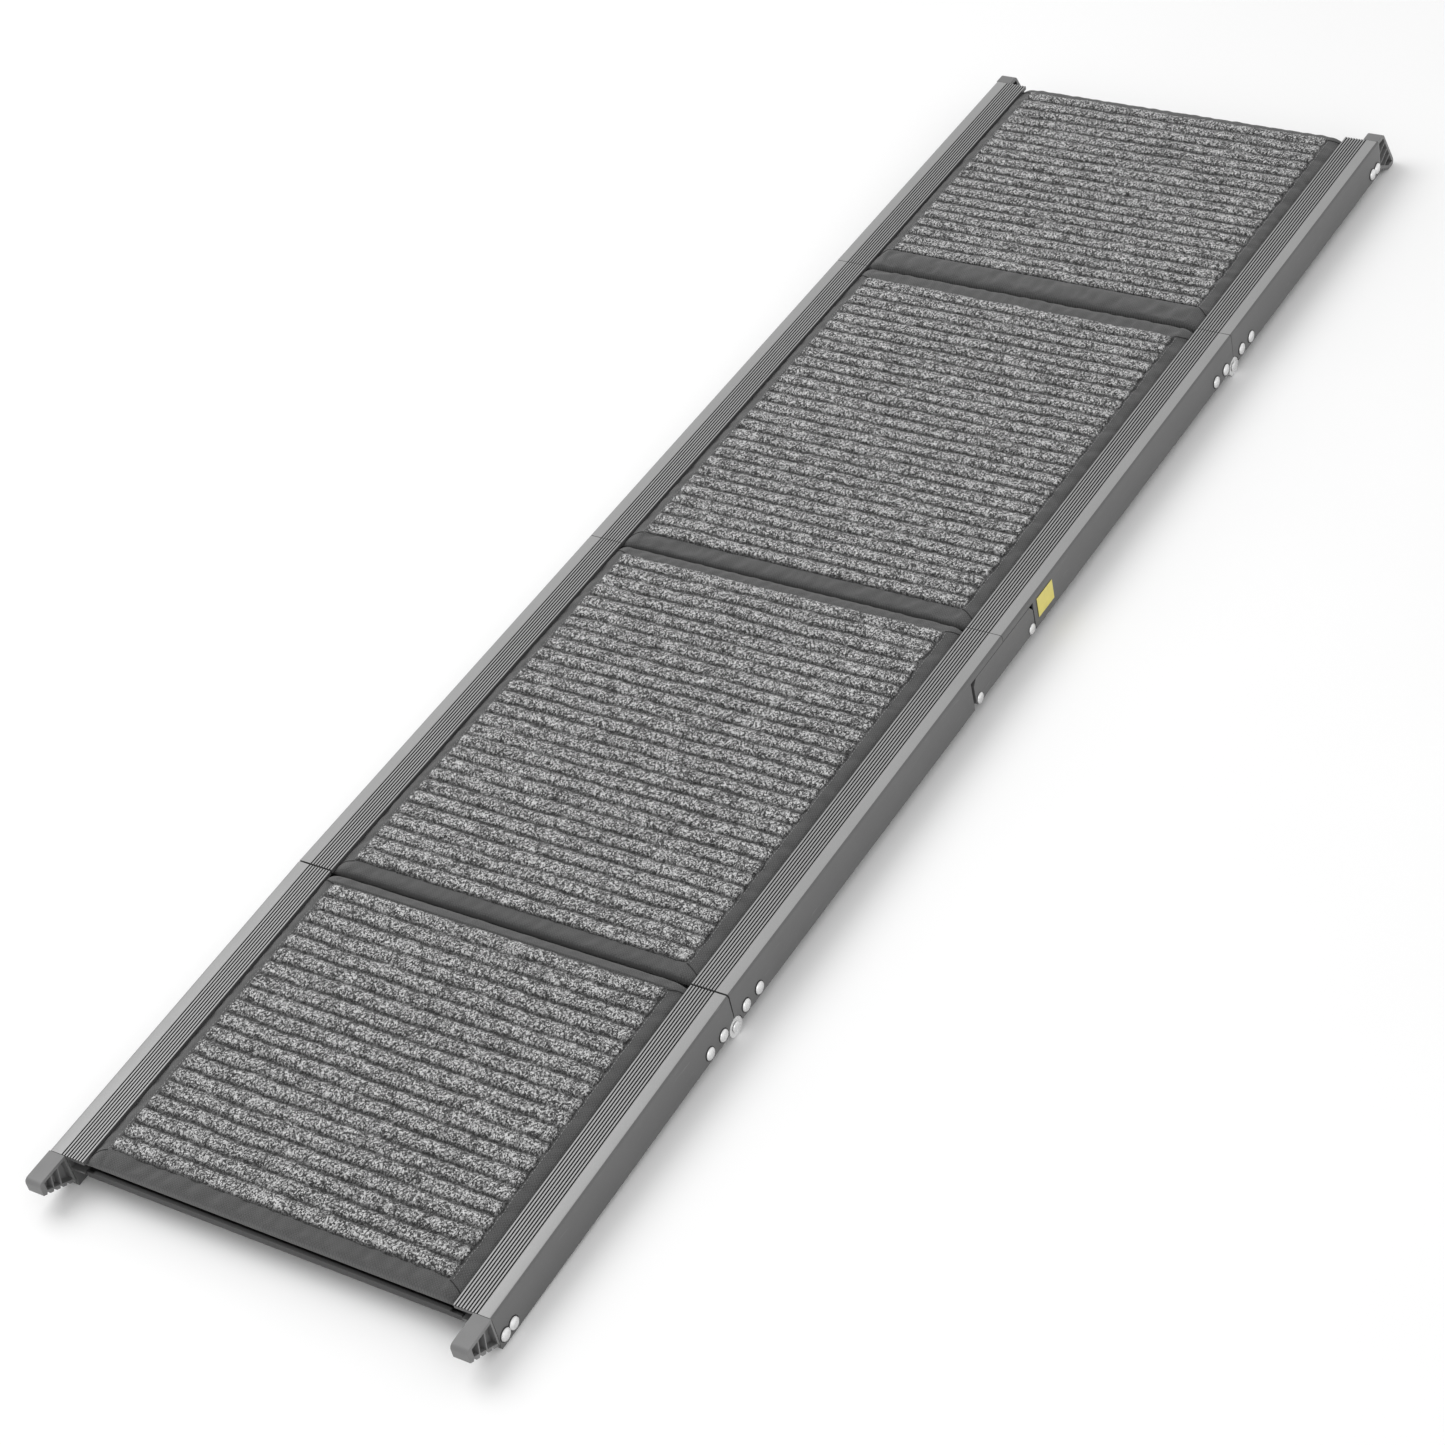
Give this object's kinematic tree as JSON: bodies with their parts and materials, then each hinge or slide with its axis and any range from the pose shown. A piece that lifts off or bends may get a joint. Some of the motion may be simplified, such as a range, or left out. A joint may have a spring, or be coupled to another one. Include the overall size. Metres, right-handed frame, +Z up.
{
  "type": "folding dog ramp",
  "caption": "Folding carpeted dog ramp: ribbed aluminium side rails, hinged sections that fold flat underneath, and toothed wedge feet at both ends.",
  "frame": {"origin": "on the floor under the middle of the ramp, between the two middle sections", "axes": "+X along the ramp towards section 4, +Y to its left side, +Z up"},
  "size_m": [1.6241, 0.4254, 0.0487],
  "materials": {
    "rail_aluminium": "satin dark grey",
    "bar_aluminium": "satin dark grey",
    "deck_board": "matt",
    "mat_fabric": "woven, slight sheen",
    "carpet_pile": "mottled loop pile",
    "link_paint": "matt paint",
    "bright_steel": "bright",
    "foot_plastic": "matt",
    "label": "plain film"
  },
  "bodies": {
    "section_2": {"deck_board_2": "deck_board", "mat_pad_2": "mat_fabric", "carpet_2": "carpet_pile", "cross_bar_2_inner": "bar_aluminium", "cross_bar_2_outer": "bar_aluminium", "rail_2_left": "rail_aluminium", "fixed_leaf_2_left": "bright_steel", "hinge_pin_2_left": "bright_steel", "rail_2_right": "rail_aluminium", "fixed_leaf_2_right": "bright_steel", "hinge_pin_2_right": "bright_steel"},
    "section_1": {"deck_board_1": "deck_board", "mat_pad_1": "mat_fabric", "carpet_1": "carpet_pile", "cross_bar_1_inner": "bar_aluminium", "cross_bar_1_outer": "bar_aluminium", "rail_1_left": "rail_aluminium", "moving_leaf_1_left": "bright_steel", "foot_1_left": "foot_plastic", "foot_screw_1_left_1": "bright_steel", "foot_screw_1_left_2": "bright_steel", "rail_1_right": "rail_aluminium", "moving_leaf_1_right": "bright_steel", "foot_1_right": "foot_plastic", "foot_screw_1_right_1": "bright_steel", "foot_screw_1_right_2": "bright_steel"},
    "centre_link": {"link_left": "link_paint", "link_right": "link_paint", "pivot_pin_2_left": "bright_steel", "pivot_pin_2_right": "bright_steel", "pivot_pin_3_left": "bright_steel", "pivot_pin_3_right": "bright_steel"},
    "section_3": {"deck_board_3": "deck_board", "mat_pad_3": "mat_fabric", "carpet_3": "carpet_pile", "cross_bar_3_inner": "bar_aluminium", "cross_bar_3_outer": "bar_aluminium", "rail_3_left": "rail_aluminium", "fixed_leaf_3_left": "bright_steel", "hinge_pin_3_left": "bright_steel", "rail_3_right": "rail_aluminium", "fixed_leaf_3_right": "bright_steel", "hinge_pin_3_right": "bright_steel", "side_label": "label"},
    "section_4": {"deck_board_4": "deck_board", "mat_pad_4": "mat_fabric", "carpet_4": "carpet_pile", "cross_bar_4_inner": "bar_aluminium", "cross_bar_4_outer": "bar_aluminium", "rail_4_left": "rail_aluminium", "moving_leaf_4_left": "bright_steel", "foot_4_left": "foot_plastic", "foot_screw_4_left_1": "bright_steel", "foot_screw_4_left_2": "bright_steel", "rail_4_right": "rail_aluminium", "moving_leaf_4_right": "bright_steel", "foot_4_right": "foot_plastic", "foot_screw_4_right_1": "bright_steel", "foot_screw_4_right_2": "bright_steel"}
  },
  "joints": [
    {"name": "fold_1", "type": "hinge", "parent": "section_2", "child": "section_1", "pos_m": [-0.448, 0, 0.009], "axis": [0, -1, 0], "range_deg": [-1.59, 178.4]},
    {"name": "link_fold", "type": "hinge", "parent": "section_2", "child": "centre_link", "pos_m": [-0.047, 0, 0.01425], "axis": [0, 1, 0], "range_deg": [0, 88]},
    {"name": "middle_fold", "type": "hinge", "parent": "centre_link", "child": "section_3", "pos_m": [0.047, 0, 0.01425], "axis": [0, 1, 0], "range_deg": [0, 88]},
    {"name": "fold_4", "type": "hinge", "parent": "section_3", "child": "section_4", "pos_m": [0.448, 0, 0.009], "axis": [0, 1, 0], "range_deg": [0, 178.3]}
  ],
  "couplings": [
    {"joint": "middle_fold", "follows": "link_fold", "ratio": 1}
  ]
}
